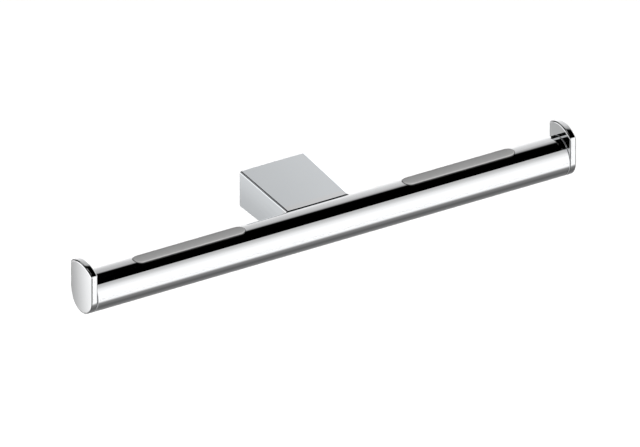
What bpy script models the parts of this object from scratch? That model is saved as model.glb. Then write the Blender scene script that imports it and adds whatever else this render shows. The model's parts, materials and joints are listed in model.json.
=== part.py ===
"""Double toilet roll holder for a wall.

One chromed tube carries two rolls, one on each side of a short mounting block.
A plate with a raised lip closes each end of the tube and keeps its roll on.
A soft brake pad in the tube's crest stops each roll from running on.

Frame, in metres: X runs along the tube, +Y points into the wall and +Z is up.
The origin is the middle of the wall face, on the back of the wall bracket.
"""

import math

import bmesh
import bpy


# Clearances that several pieces share
FIT_GAP = 0.0003
CUT_OVERRUN = 0.001

# Tube
BAR_LENGTH = 0.2954
TUBE_DIAMETER = 0.022
TUBE_WALL = 0.0015
AXIS_TO_WALL = 0.054

# End plates, whose depth is the tube's diameter
PLATE_THICKNESS = 0.004
PLATE_SHOULDER_HEIGHT = 0.0151
PLATE_TOP_RISE = 0.00355
PLATE_EDGE_RADIUS = 0.001
BOSS_DIAMETER = 0.006
BOSS_LENGTH = 0.005
BOSS_HOLE_SKIN = 0.0028
BOSS_OFFSET_SHARE = 0.5

# End plugs
PLUG_FLOOR = 0.006
PLUG_CHAMFER = 0.0008

# End plate screws
END_SCREW_DIAMETER = 0.003
END_SCREW_HEAD_DIAMETER = 0.0055
END_SCREW_HEAD_HEIGHT = 0.002
END_SCREW_HEAD_CHAMFER = 0.0003
END_SCREW_SOCKET_WIDTH = 0.0025
END_SCREW_SOCKET_DEPTH = 0.0012

# Brake pads
PAD_LENGTH = 0.0675
PAD_WIDTH = 0.0075
PAD_FROM_PLATE = 0.028
PAD_PROUD = 0.0005
PAD_LIP_REACH = 0.0015
PAD_LIP_EDGE = 0.001

# Mounting block, a hollow casting that narrows from the wall to the tube
BLOCK_WALL_WIDTH = 0.0396
BLOCK_WIDTH_FLARE = 0.0018
BLOCK_INSET_FROM_TUBE = 0.0014
BLOCK_HEIGHT_FLARE = 0.0024
BLOCK_EDGE_RADIUS = 0.0008
BLOCK_SHELL = 0.0025
BLOCK_SADDLE_WALL = 0.003
CAVITY_CORNER_RADIUS = 0.001

# Screws, washers and nut strip that draw the tube into the block's saddle
BAR_SCREW_SPACING = 0.018
BAR_SCREW_DIAMETER = 0.004
BAR_SCREW_HEAD_DIAMETER = 0.007
BAR_SCREW_HEAD_HEIGHT = 0.0026
BAR_SCREW_HEAD_CHAMFER = 0.0004
BAR_SCREW_SOCKET_WIDTH = 0.0025
BAR_SCREW_SOCKET_DEPTH = 0.0015
BAR_SCREW_POINT = 0.0008
WASHER_DIAMETER = 0.009
WASHER_THICKNESS = 0.0008
NUT_STRIP_END = 0.007
NUT_STRIP_HEIGHT = 0.011
NUT_STRIP_THICKNESS = 0.0045

# Wall bracket, a plate with a tongue that the block slides over
BRACKET_THICKNESS = 0.003
TONGUE_WIDTH = 0.012
TONGUE_HEIGHT = 0.009
TONGUE_REACH = 0.014
WALL_SCREW_SPACING = 0.022
WALL_SCREW_DIAMETER = 0.004
WALL_SCREW_HEAD_DIAMETER = 0.0078

# Grub screw that locks the block on the tongue from below
GRUB_DIAMETER = 0.004
GRUB_FROM_WALL = 0.009
GRUB_RECESS = 0.0004
GRUB_TIP_DIAMETER = 0.0016
GRUB_TIP_LENGTH = 0.0012
GRUB_SOCKET_WIDTH = 0.002
GRUB_SOCKET_DEPTH = 0.002

# How finely round shapes are divided
TUBE_STEPS = 64
FASTENER_STEPS = 32
TOP_ARC_STEPS = 16
PAD_END_STEPS = 12
CORNER_STEPS = 6
EDGE_SEGMENTS = 2
HEXAGON_SIDES = 6

# Sizes that follow from the ones above
TUBE_RADIUS = TUBE_DIAMETER / 2
BORE_RADIUS = TUBE_RADIUS - TUBE_WALL
INNER_FIT_RADIUS = BORE_RADIUS - FIT_GAP
SADDLE_RADIUS = TUBE_RADIUS + FIT_GAP
PLATE_INNER_FACE = BAR_LENGTH / 2 - PLATE_THICKNESS
TUBE_LENGTH = 2 * (PLATE_INNER_FACE - FIT_GAP)
PLUG_LENGTH = BOSS_LENGTH + PLUG_FLOOR
NUT_STRIP_LENGTH = BAR_SCREW_SPACING + 2 * NUT_STRIP_END
BOSS_OFFSET = BOSS_OFFSET_SHARE * INNER_FIT_RADIUS
PAD_FROM_MIDDLE = PLATE_INNER_FACE - PAD_FROM_PLATE - PAD_LENGTH / 2
CAVITY_DEPTH = AXIS_TO_WALL - SADDLE_RADIUS - BLOCK_SADDLE_WALL
WASHER_SEAT = SADDLE_RADIUS + BLOCK_SADDLE_WALL + FIT_GAP
END_SCREW_HOLE_DIAMETER = END_SCREW_DIAMETER + 2 * FIT_GAP
BAR_SCREW_HOLE_DIAMETER = BAR_SCREW_DIAMETER + 2 * FIT_GAP

QUARTER_TURN = math.pi / 2
HALF_TURN = math.pi
FULL_TURN = 2 * math.pi
MERGE_DISTANCE = 0.00001
SHARP_ANGLE = math.radians(30)
BEVEL_ANGLE = math.radians(40)

# Turns that lay a shape made along Z down along another axis
ALONG_X = (0, QUARTER_TURN, 0)
ALONG_Y = (QUARTER_TURN, 0, 0)

# Where the repeated pieces lie: their names and the signs of their places
SIDES = (("left", -1), ("right", 1))
LEVELS = (("upper", 1), ("lower", -1))
QUADRANTS = ((1, 1), (-1, 1), (-1, -1), (1, -1))


# Scene and collections

def clear_scene():
    for item in list(bpy.data.objects):
        bpy.data.objects.remove(item, do_unlink=True)


def new_collection(name):
    collection = bpy.data.collections.new(name)
    bpy.context.scene.collection.children.link(collection)
    return collection


def new_empty(name, parent=None, location=(0, 0, 0), turn=0.0):
    empty = bpy.data.objects.new(name, None)
    empty.empty_display_size = TUBE_RADIUS
    empty.location = location
    empty.rotation_euler = (0, 0, turn)
    empty.parent = parent
    PARTS.objects.link(empty)
    return empty


def place(item, parent, location=(0, 0, 0), rotation=(0, 0, 0)):
    item.parent = parent
    item.location = location
    item.rotation_euler = rotation
    return item


# Materials

def principled(name, colour, roughness, metallic):
    material = bpy.data.materials.new(name)
    material.use_nodes = True
    shader = material.node_tree.nodes["Principled BSDF"]
    shader.inputs["Base Color"].default_value = (*colour, 1.0)
    shader.inputs["Roughness"].default_value = roughness
    shader.inputs["Metallic"].default_value = metallic
    return material


def polished_chrome(piece):
    return principled(piece + "_chrome", (0.80, 0.81, 0.83), 0.05, 1.0)


def grey_elastomer(piece):
    return principled(piece + "_elastomer", (0.27, 0.27, 0.27), 0.65, 0.0)


def cast_zinc(piece):
    return principled(piece + "_zinc", (0.50, 0.51, 0.53), 0.45, 1.0)


def black_nylon(piece):
    return principled(piece + "_nylon", (0.03, 0.03, 0.03), 0.5, 0.0)


def bright_steel(piece):
    return principled(piece + "_steel", (0.58, 0.58, 0.57), 0.3, 1.0)


# Shapes

def add_object(name, mesh, collection):
    item = bpy.data.objects.new(name, mesh)
    collection.objects.link(item)
    return item


def shade_round(mesh):
    mesh.shade_smooth()
    mesh.set_sharp_from_angle(angle=SHARP_ANGLE)


def finish_part(item, material):
    item.data.materials.clear()
    item.data.materials.append(material)
    shade_round(item.data)
    return item


def mark_cutter(item):
    item.hide_render = True
    item.display_type = "WIRE"
    return item


def cylinder_mesh(name, diameter, length, sides):
    """A cylinder along Z, centred on its middle."""
    shape = bmesh.new()
    bmesh.ops.create_cone(shape, cap_ends=True, segments=sides, radius1=diameter / 2,
                          radius2=diameter / 2, depth=length)
    mesh = bpy.data.meshes.new(name)
    shape.to_mesh(mesh)
    shape.free()
    return mesh


def box_mesh(name, width, depth, height):
    shape = bmesh.new()
    bmesh.ops.create_cube(shape, size=1)
    bmesh.ops.scale(shape, vec=(width, depth, height), verts=shape.verts)
    mesh = bpy.data.meshes.new(name)
    shape.to_mesh(mesh)
    shape.free()
    return mesh


def profile_mesh(name, profile, closed):
    """Points (radius, height) at +X, joined in their order, for a Screw modifier."""
    shape = bmesh.new()
    points = [shape.verts.new((radius, 0, height)) for radius, height in profile]
    for first, second in zip(points, points[1:]):
        shape.edges.new((first, second))
    if closed:
        shape.edges.new((points[-1], points[0]))
    mesh = bpy.data.meshes.new(name)
    shape.to_mesh(mesh)
    shape.free()
    return mesh


def turn_profile(item, steps):
    """Turns the profile once round the local Z axis."""
    screw = item.modifiers.new("turn", "SCREW")
    screw.axis = "Z"
    screw.angle = FULL_TURN
    screw.steps = steps
    screw.render_steps = steps
    screw.use_merge_vertices = True
    screw.merge_threshold = MERGE_DISTANCE
    screw.use_smooth_shade = True
    return item


def arc_points(centre, radius, start, end, steps):
    """Points of an arc in a flat outline, with both of its ends."""
    points = []
    for step in range(steps + 1):
        angle = start + (end - start) * step / steps
        points.append((centre[0] + radius * math.cos(angle), centre[1] + radius * math.sin(angle)))
    return points


def outline_mesh(name, outline, thickness):
    """A flat outline in X and Y, given its thickness along Z about the middle."""
    curve = bpy.data.curves.new(name, "CURVE")
    curve.dimensions = "2D"
    curve.fill_mode = "BOTH"
    curve.extrude = thickness / 2
    spline = curve.splines.new("POLY")
    spline.points.add(len(outline) - 1)
    for point, (across, up) in zip(spline.points, outline):
        point.co = (across, up, 0, 1)
    spline.use_cyclic_u = True
    guide = add_object(name + "_outline", curve, CUTTERS)
    evaluated = guide.evaluated_get(bpy.context.evaluated_depsgraph_get())
    mesh = bpy.data.meshes.new_from_object(evaluated)
    mesh.name = name
    bpy.data.objects.remove(guide, do_unlink=True)
    shape = bmesh.new()
    shape.from_mesh(mesh)
    bmesh.ops.remove_doubles(shape, verts=shape.verts, dist=MERGE_DISTANCE)
    shape.to_mesh(mesh)
    shape.free()
    return mesh


def bevel_edges(item, radius):
    bevel = item.modifiers.new("edge", "BEVEL")
    bevel.width = radius
    bevel.segments = EDGE_SEGMENTS
    bevel.limit_method = "ANGLE"
    bevel.angle_limit = BEVEL_ANGLE
    return item


def combine(item, other, operation):
    boolean = item.modifiers.new(other.name, "BOOLEAN")
    boolean.operation = operation
    boolean.solver = "EXACT"
    boolean.object = other
    return item


def new_cutter(name, mesh, parent, location=(0, 0, 0), rotation=(0, 0, 0)):
    cutter = mark_cutter(add_object(name, mesh, CUTTERS))
    return place(cutter, parent, location, rotation)


# Shapes that several pieces use

def coaxial_cylinder(name, radius, length, bar, across=0.0):
    """A cylinder on the tube's axis, divided as the tube is, for fits in and on it."""
    mesh = cylinder_mesh(name, 2 * radius, length, TUBE_STEPS)
    return new_cutter(name, mesh, bar, (across, 0, 0), ALONG_X)


def stadium_outline(length, width):
    """A strip with round ends, its length along X."""
    radius = width / 2
    reach = length / 2 - radius
    right = arc_points((reach, 0), radius, -QUARTER_TURN, QUARTER_TURN, PAD_END_STEPS)
    left = arc_points((-reach, 0), radius, QUARTER_TURN, QUARTER_TURN + HALF_TURN, PAD_END_STEPS)
    return right + left


def rounded_rectangle(width, height, radius):
    outline = []
    for corner, (side, top) in enumerate(QUADRANTS):
        angle = corner * QUARTER_TURN
        centre = (side * (width / 2 - radius), top * (height / 2 - radius))
        outline += arc_points(centre, radius, angle, angle + QUARTER_TURN, CORNER_STEPS)
    return outline


def screw_body(name, sizes, length):
    """A screw whose head is seated at z = 0, with its shank down along -Z."""
    head_radius = sizes["head"] / 2
    shank_radius = sizes["shank"] / 2
    top = sizes["head_height"]
    chamfer = sizes["chamfer"]
    profile = [
        (0, top),
        (head_radius - chamfer, top),
        (head_radius, top - chamfer),
        (head_radius, 0),
        (shank_radius, 0),
        (shank_radius, -length),
        (0, -length),
    ]
    screw = add_object(name, profile_mesh(name, profile, closed=False), PARTS)
    return turn_profile(screw, FASTENER_STEPS)


def cut_hexagon(screw, parent, width, depth, face, rotation, inward):
    """Sinks a hexagon socket into a screw's face along the unit direction inward."""
    across_corners = 2 * width / math.sqrt(3)
    name = screw.name + "_socket_cut"
    mesh = cylinder_mesh(name, across_corners, depth + CUT_OVERRUN, HEXAGON_SIDES)
    shift = (depth - CUT_OVERRUN) / 2
    middle = [start + shift * way for start, way in zip(face, inward)]
    combine(screw, new_cutter(name, mesh, parent, middle, rotation), "DIFFERENCE")


# Tube, brake pads and nut strip, which share the tube's axis

def make_tube(bar):
    half = TUBE_LENGTH / 2
    profile = [
        (TUBE_RADIUS, half),
        (TUBE_RADIUS, -half),
        (BORE_RADIUS, -half),
        (BORE_RADIUS, half),
    ]
    tube = add_object("bar_tube", profile_mesh("bar_tube", profile, closed=True), PARTS)
    turn_profile(tube, TUBE_STEPS)
    place(tube, bar, rotation=ALONG_X)
    for side, sign in SIDES:
        combine(tube, pad_slot_cut(bar, side, sign), "DIFFERENCE")
        hole = bar_screw_cut("tube_hole_" + side, bar, sign, BORE_RADIUS, TUBE_WALL)
        combine(tube, hole, "DIFFERENCE")
    return finish_part(tube, polished_chrome("bar_tube"))


def pad_slot_cut(bar, side, sign):
    """The pad's outline with a gap round it, from the tube's axis out through its crest."""
    name = "pad_slot_" + side
    outline = stadium_outline(PAD_LENGTH + 2 * FIT_GAP, PAD_WIDTH + 2 * FIT_GAP)
    height = TUBE_RADIUS + CUT_OVERRUN
    mesh = outline_mesh(name, outline, height)
    return new_cutter(name, mesh, bar, (sign * PAD_FROM_MIDDLE, 0, height / 2))


def bar_screw_cut(name, bar, sign, start, depth):
    """A hole for a bar screw, which starts behind the tube's axis and runs to the wall."""
    length = depth + 2 * CUT_OVERRUN
    mesh = cylinder_mesh(name, BAR_SCREW_HOLE_DIAMETER, length, FASTENER_STEPS)
    middle = start + depth / 2
    return new_cutter(name, mesh, bar, (sign * BAR_SCREW_SPACING / 2, middle, 0), ALONG_Y)


def make_brake_pad(bar, side, sign):
    """A strip that stands out of the tube's slot and is held by a lip inside the tube."""
    name = "brake_pad_" + side
    across = sign * PAD_FROM_MIDDLE
    crown_radius = TUBE_RADIUS + PAD_PROUD
    lip_length = PAD_LENGTH + 2 * PAD_LIP_REACH
    lip_width = PAD_WIDTH + 2 * PAD_LIP_REACH
    lip_corner_height = math.sqrt(INNER_FIT_RADIUS ** 2 - (lip_width / 2) ** 2)
    underside = lip_corner_height - PAD_LIP_EDGE
    height = crown_radius + CUT_OVERRUN - underside
    centre = (across, 0, underside + height / 2)
    pad_mesh = outline_mesh(name, stadium_outline(PAD_LENGTH, PAD_WIDTH), height)
    pad = place(add_object(name, pad_mesh, PARTS), bar, centre)
    crown_length = PAD_LENGTH + 2 * CUT_OVERRUN
    crown = coaxial_cylinder("pad_crown_" + side, crown_radius, crown_length, bar, across)
    combine(pad, crown, "INTERSECT")
    lip_name = "pad_lip_" + side
    lip_mesh = outline_mesh(lip_name, stadium_outline(lip_length, lip_width), height)
    lip = new_cutter(lip_name, lip_mesh, bar, centre)
    bore_length = lip_length + 2 * CUT_OVERRUN
    bore = coaxial_cylinder("pad_bore_" + side, INNER_FIT_RADIUS, bore_length, bar, across)
    combine(lip, bore, "INTERSECT")
    combine(pad, lip, "UNION")
    return finish_part(pad, grey_elastomer(name))


def make_nut_strip(bar):
    """A threaded strip that lies against the back of the tube's bore."""
    depth = NUT_STRIP_THICKNESS + CUT_OVERRUN
    mesh = box_mesh("nut_strip", NUT_STRIP_LENGTH, depth, NUT_STRIP_HEIGHT)
    strip = add_object("nut_strip", mesh, PARTS)
    front = INNER_FIT_RADIUS - NUT_STRIP_THICKNESS
    place(strip, bar, (0, front + depth / 2, 0))
    round_length = NUT_STRIP_LENGTH + 2 * CUT_OVERRUN
    round_back = coaxial_cylinder("nut_strip_back", INNER_FIT_RADIUS, round_length, bar)
    combine(strip, round_back, "INTERSECT")
    for side, sign in SIDES:
        name = "nut_strip_hole_" + side
        combine(strip, bar_screw_cut(name, bar, sign, front, NUT_STRIP_THICKNESS), "DIFFERENCE")
    return finish_part(strip, bright_steel("nut_strip"))


def make_bar_screw(bar, side, sign):
    """A screw from inside the block through its saddle and the tube into the nut strip."""
    name = "bar_screw_" + side
    head_seat = WASHER_SEAT + WASHER_THICKNESS + FIT_GAP
    tip = INNER_FIT_RADIUS - NUT_STRIP_THICKNESS - BAR_SCREW_POINT
    sizes = {
        "head": BAR_SCREW_HEAD_DIAMETER,
        "head_height": BAR_SCREW_HEAD_HEIGHT,
        "chamfer": BAR_SCREW_HEAD_CHAMFER,
        "shank": BAR_SCREW_DIAMETER,
    }
    screw = screw_body(name, sizes, head_seat - tip)
    across = sign * BAR_SCREW_SPACING / 2
    place(screw, bar, (across, head_seat, 0), (-QUARTER_TURN, 0, 0))
    face = (across, head_seat + BAR_SCREW_HEAD_HEIGHT, 0)
    cut_hexagon(screw, bar, BAR_SCREW_SOCKET_WIDTH, BAR_SCREW_SOCKET_DEPTH,
                face, ALONG_Y, (0, -1, 0))
    return finish_part(screw, bright_steel(name))


def make_bar_washer(bar, side, sign):
    name = "bar_washer_" + side
    outer = WASHER_DIAMETER / 2
    inner = BAR_SCREW_HOLE_DIAMETER / 2
    profile = [(outer, WASHER_THICKNESS), (outer, 0), (inner, 0), (inner, WASHER_THICKNESS)]
    washer = add_object(name, profile_mesh(name, profile, closed=True), PARTS)
    turn_profile(washer, FASTENER_STEPS)
    place(washer, bar, (sign * BAR_SCREW_SPACING / 2, WASHER_SEAT, 0), (-QUARTER_TURN, 0, 0))
    return finish_part(washer, bright_steel(name))


# End plates, plugs and their screws.  Each end has an empty on the tube's axis at the
# plate's inner face, whose local X points out of the tube.

def plate_outline():
    """The plate seen along the tube: round below, straight sides, a shallow arc on top.

    Its X is the plate's height and its Y is the plate's depth.
    """
    rise = PLATE_TOP_RISE
    top_radius = (TUBE_RADIUS ** 2 + rise ** 2) / (2 * rise)
    top_centre = (PLATE_SHOULDER_HEIGHT + rise - top_radius, 0)
    half_angle = math.asin(TUBE_RADIUS / top_radius)
    bottom_steps = TUBE_STEPS // 2
    bottom = arc_points((0, 0), TUBE_RADIUS, QUARTER_TURN, QUARTER_TURN + HALF_TURN, bottom_steps)
    top = arc_points(top_centre, top_radius, -half_angle, half_angle, TOP_ARC_STEPS)
    return bottom + top


def make_end_plate(end, side):
    name = "end_plate_" + side
    plate = add_object(name, outline_mesh(name, plate_outline(), PLATE_THICKNESS), PARTS)
    # The outline's X turns up and its Z, the thickness, turns outward along the tube.
    place(plate, end, (PLATE_THICKNESS / 2, 0, 0), (0, -QUARTER_TURN, 0))
    bevel_edges(plate, PLATE_EDGE_RADIUS)
    for level, way in LEVELS:
        height = way * BOSS_OFFSET
        boss_name = f"{name}_boss_{level}"
        boss_mesh = cylinder_mesh(boss_name, BOSS_DIAMETER, BOSS_LENGTH + PLATE_THICKNESS / 2,
                                  FASTENER_STEPS)
        boss_middle = (PLATE_THICKNESS / 2 - BOSS_LENGTH) / 2
        boss = new_cutter(boss_name, boss_mesh, end, (boss_middle, 0, height), ALONG_X)
        combine(plate, boss, "UNION")
    for level, way in LEVELS:
        hole_name = f"{name}_hole_{level}"
        depth = BOSS_LENGTH + PLATE_THICKNESS - BOSS_HOLE_SKIN + CUT_OVERRUN
        hole_mesh = cylinder_mesh(hole_name, END_SCREW_HOLE_DIAMETER, depth, FASTENER_STEPS)
        hole_middle = PLATE_THICKNESS - BOSS_HOLE_SKIN - depth / 2
        hole_place = (hole_middle, 0, way * BOSS_OFFSET)
        combine(plate, new_cutter(hole_name, hole_mesh, end, hole_place, ALONG_X), "DIFFERENCE")
    return finish_part(plate, polished_chrome(name))


def make_end_plug(end, side):
    """A plug fixed in the tube's bore, with a pocket for each boss of the plate."""
    name = "end_plug_" + side
    profile = [
        (0, PLUG_LENGTH),
        (INNER_FIT_RADIUS, PLUG_LENGTH),
        (INNER_FIT_RADIUS, PLUG_CHAMFER),
        (INNER_FIT_RADIUS - PLUG_CHAMFER, 0),
        (0, 0),
    ]
    plug = add_object(name, profile_mesh(name, profile, closed=False), PARTS)
    turn_profile(plug, TUBE_STEPS)
    outer_face = -FIT_GAP
    place(plug, end, (outer_face - PLUG_LENGTH, 0, 0), ALONG_X)
    for level, way in LEVELS:
        height = way * BOSS_OFFSET
        pocket_name = f"{name}_pocket_{level}"
        pocket_bottom = -BOSS_LENGTH - FIT_GAP
        pocket_depth = CUT_OVERRUN - pocket_bottom
        pocket_mesh = cylinder_mesh(pocket_name, BOSS_DIAMETER + 2 * FIT_GAP, pocket_depth,
                                    FASTENER_STEPS)
        pocket_place = (pocket_bottom + pocket_depth / 2, 0, height)
        pocket = new_cutter(pocket_name, pocket_mesh, end, pocket_place, ALONG_X)
        combine(plug, pocket, "DIFFERENCE")
        hole_name = f"{name}_hole_{level}"
        hole_length = PLUG_LENGTH + 2 * CUT_OVERRUN
        hole_mesh = cylinder_mesh(hole_name, END_SCREW_HOLE_DIAMETER, hole_length, FASTENER_STEPS)
        hole_place = (outer_face - PLUG_LENGTH / 2, 0, height)
        combine(plug, new_cutter(hole_name, hole_mesh, end, hole_place, ALONG_X), "DIFFERENCE")
    return finish_part(plug, black_nylon(name))


def make_end_screw(end, side, level, way):
    """A screw through the plug's floor into a boss of the plate, head inside the tube."""
    name = f"end_screw_{side}_{level}"
    seat = -FIT_GAP - PLUG_LENGTH - FIT_GAP
    tip = PLATE_THICKNESS - BOSS_HOLE_SKIN - FIT_GAP
    sizes = {
        "head": END_SCREW_HEAD_DIAMETER,
        "head_height": END_SCREW_HEAD_HEIGHT,
        "chamfer": END_SCREW_HEAD_CHAMFER,
        "shank": END_SCREW_DIAMETER,
    }
    screw = screw_body(name, sizes, tip - seat)
    height = way * BOSS_OFFSET
    place(screw, end, (seat, 0, height), (0, -QUARTER_TURN, 0))
    face = (seat - END_SCREW_HEAD_HEIGHT, 0, height)
    cut_hexagon(screw, end, END_SCREW_SOCKET_WIDTH, END_SCREW_SOCKET_DEPTH,
                face, ALONG_X, (1, 0, 0))
    return finish_part(screw, bright_steel(name))


# Mounting block and wall bracket

def block_size_at(distance):
    """The block's width and height at a distance from the wall."""
    share = distance / AXIS_TO_WALL
    bar_height = TUBE_DIAMETER - 2 * BLOCK_INSET_FROM_TUBE
    width = BLOCK_WALL_WIDTH - BLOCK_WIDTH_FLARE * share
    height = bar_height + BLOCK_HEIGHT_FLARE * (1 - share)
    return width, height


def tapered_mesh(name, near, far, margin):
    """The block's own taper between two distances from the wall, set in by a margin."""
    shape = bmesh.new()
    bmesh.ops.create_cube(shape, size=1)
    for vert in shape.verts:
        distance = near if vert.co.y > 0 else far
        width, height = block_size_at(distance)
        vert.co.x *= width - 2 * margin
        vert.co.z *= height - 2 * margin
        vert.co.y = -distance
    mesh = bpy.data.meshes.new(name)
    shape.to_mesh(mesh)
    shape.free()
    return mesh


def make_mounting_block(root, bar):
    block_mesh = tapered_mesh("mounting_block", 0, AXIS_TO_WALL, 0)
    block = place(add_object("mounting_block", block_mesh, PARTS), root)
    bevel_edges(block, BLOCK_EDGE_RADIUS)
    saddle_length = BLOCK_WALL_WIDTH + 2 * CUT_OVERRUN
    saddle = coaxial_cylinder("block_saddle_cut", SADDLE_RADIUS, saddle_length, bar)
    combine(block, saddle, "DIFFERENCE")
    cavity_mesh = tapered_mesh("block_cavity_cut", -CUT_OVERRUN, CAVITY_DEPTH, BLOCK_SHELL)
    cavity = new_cutter("block_cavity_cut", cavity_mesh, root)
    bevel_edges(cavity, CAVITY_CORNER_RADIUS)
    combine(block, cavity, "DIFFERENCE")
    for side, sign in SIDES:
        name = "block_hole_" + side
        hole = bar_screw_cut(name, bar, sign, SADDLE_RADIUS, BLOCK_SADDLE_WALL)
        combine(block, hole, "DIFFERENCE")
    hole_height = BLOCK_SHELL + 2 * CUT_OVERRUN
    hole_mesh = cylinder_mesh("grub_hole_cut", GRUB_DIAMETER + 2 * FIT_GAP, hole_height,
                              FASTENER_STEPS)
    underside = -block_size_at(GRUB_FROM_WALL)[1] / 2
    hole_place = (0, -GRUB_FROM_WALL, underside + BLOCK_SHELL / 2)
    combine(block, new_cutter("grub_hole_cut", hole_mesh, root, hole_place), "DIFFERENCE")
    return finish_part(block, polished_chrome("mounting_block"))


def make_wall_bracket(root):
    """A plate inside the block's open back, with a tongue that the grub screw grips."""
    inner_width, inner_height = block_size_at(BRACKET_THICKNESS)
    set_in = 2 * (BLOCK_SHELL + FIT_GAP)
    outline = rounded_rectangle(inner_width - set_in, inner_height - set_in, CAVITY_CORNER_RADIUS)
    bracket_mesh = outline_mesh("wall_bracket", outline, BRACKET_THICKNESS)
    bracket = add_object("wall_bracket", bracket_mesh, PARTS)
    place(bracket, root, (0, -BRACKET_THICKNESS / 2, 0), ALONG_Y)
    tongue_length = TONGUE_REACH - BRACKET_THICKNESS / 2
    tongue_mesh = box_mesh("bracket_tongue", TONGUE_WIDTH, tongue_length, TONGUE_HEIGHT)
    tongue_middle = -(TONGUE_REACH + BRACKET_THICKNESS / 2) / 2
    tongue = new_cutter("bracket_tongue", tongue_mesh, root, (0, tongue_middle, 0))
    bevel_edges(tongue, BLOCK_EDGE_RADIUS)
    combine(bracket, tongue, "UNION")
    combine(bracket, grub_seat_cut(root), "DIFFERENCE")
    for side, sign in SIDES:
        combine(bracket, wall_screw_cut(root, side, sign), "DIFFERENCE")
    return finish_part(bracket, cast_zinc("wall_bracket"))


def wall_screw_cut(root, side, sign):
    """A countersunk hole, its wide end towards the room."""
    name = "wall_screw_cut_" + side
    hole_radius = WALL_SCREW_DIAMETER / 2 + FIT_GAP
    head_radius = WALL_SCREW_HEAD_DIAMETER / 2
    sink_depth = head_radius - hole_radius
    profile = [
        (0, BRACKET_THICKNESS + CUT_OVERRUN),
        (head_radius, BRACKET_THICKNESS + CUT_OVERRUN),
        (head_radius, BRACKET_THICKNESS),
        (hole_radius, BRACKET_THICKNESS - sink_depth),
        (hole_radius, -CUT_OVERRUN),
        (0, -CUT_OVERRUN),
    ]
    mesh = profile_mesh(name, profile, closed=False)
    cutter = new_cutter(name, mesh, root, (sign * WALL_SCREW_SPACING / 2, 0, 0), ALONG_Y)
    return turn_profile(cutter, FASTENER_STEPS)


def grub_seat_cut(root):
    """A conical seat under the tongue, as wide as the grub screw's point and its gap."""
    name = "grub_seat_cut"
    wide = GRUB_DIAMETER / 2 + FIT_GAP
    narrow = GRUB_TIP_DIAMETER / 2 + FIT_GAP
    profile = [
        (0, GRUB_TIP_LENGTH + FIT_GAP),
        (narrow, GRUB_TIP_LENGTH + FIT_GAP),
        (wide, 0),
        (wide, -CUT_OVERRUN),
        (0, -CUT_OVERRUN),
    ]
    mesh = profile_mesh(name, profile, closed=False)
    cutter = new_cutter(name, mesh, root, (0, -GRUB_FROM_WALL, -TONGUE_HEIGHT / 2))
    return turn_profile(cutter, FASTENER_STEPS)


def make_grub_screw(root):
    """A headless screw from the block's underside up to its seat in the tongue."""
    name = "bracket_grub_screw"
    bottom = GRUB_RECESS - block_size_at(GRUB_FROM_WALL)[1] / 2
    shoulder = -TONGUE_HEIGHT / 2
    radius = GRUB_DIAMETER / 2
    profile = [
        (0, shoulder + GRUB_TIP_LENGTH),
        (GRUB_TIP_DIAMETER / 2, shoulder + GRUB_TIP_LENGTH),
        (radius, shoulder),
        (radius, bottom),
        (0, bottom),
    ]
    grub = add_object(name, profile_mesh(name, profile, closed=False), PARTS)
    turn_profile(grub, FASTENER_STEPS)
    place(grub, root, (0, -GRUB_FROM_WALL, 0))
    face = (0, -GRUB_FROM_WALL, bottom)
    cut_hexagon(grub, root, GRUB_SOCKET_WIDTH, GRUB_SOCKET_DEPTH, face, (0, 0, 0), (0, 0, 1))
    return finish_part(grub, bright_steel(name))


# The whole holder

def build_holder():
    root = new_empty("wall_face_centre")
    bar = new_empty("bar_centre", root, (0, -AXIS_TO_WALL, 0))
    make_tube(bar)
    make_nut_strip(bar)
    make_mounting_block(root, bar)
    make_wall_bracket(root)
    make_grub_screw(root)
    for side, sign in SIDES:
        make_brake_pad(bar, side, sign)
        make_bar_washer(bar, side, sign)
        make_bar_screw(bar, side, sign)
        turn = 0 if sign > 0 else HALF_TURN
        end = new_empty("end_" + side, bar, (sign * PLATE_INNER_FACE, 0, 0), turn)
        make_end_plate(end, side)
        make_end_plug(end, side)
        for level, way in LEVELS:
            make_end_screw(end, side, level, way)


clear_scene()
PARTS = new_collection("double_toilet_roll_holder")
CUTTERS = new_collection("cutters")
build_holder()
bpy.context.view_layer.update()
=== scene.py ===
import json
import math

import bmesh
import bpy
from mathutils import Matrix, Vector


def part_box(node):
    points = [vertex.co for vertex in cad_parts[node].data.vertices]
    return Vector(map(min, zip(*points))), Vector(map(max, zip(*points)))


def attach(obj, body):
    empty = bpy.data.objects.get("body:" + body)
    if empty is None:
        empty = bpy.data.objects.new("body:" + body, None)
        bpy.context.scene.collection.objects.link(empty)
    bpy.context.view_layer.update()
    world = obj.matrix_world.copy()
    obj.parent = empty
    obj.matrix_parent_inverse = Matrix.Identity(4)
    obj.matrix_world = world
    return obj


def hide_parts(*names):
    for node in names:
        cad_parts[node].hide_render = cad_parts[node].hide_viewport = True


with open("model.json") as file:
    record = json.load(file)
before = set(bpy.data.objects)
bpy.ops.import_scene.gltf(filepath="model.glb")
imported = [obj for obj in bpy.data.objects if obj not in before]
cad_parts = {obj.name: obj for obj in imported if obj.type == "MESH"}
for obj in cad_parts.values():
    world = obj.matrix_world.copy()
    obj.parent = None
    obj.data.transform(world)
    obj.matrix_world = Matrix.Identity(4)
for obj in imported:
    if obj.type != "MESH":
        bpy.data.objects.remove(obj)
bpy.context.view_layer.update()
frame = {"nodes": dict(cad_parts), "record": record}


X, Y, Z = range(3)


def reach(node, axis):
    """Where a solid starts and ends along an axis, to a hundredth of a millimetre."""
    return [round(corner[axis], 5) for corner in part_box(node)]


def extent(node, axis):
    low, high = reach(node, axis)
    return high - low


def middle(node, axis):
    return sum(reach(node, axis)) / 2


# All lengths are in metres: X along the tube, +Y into the wall, +Z up.
CLEARANCE = 0.0003
OVERRUN = 0.001

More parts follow.
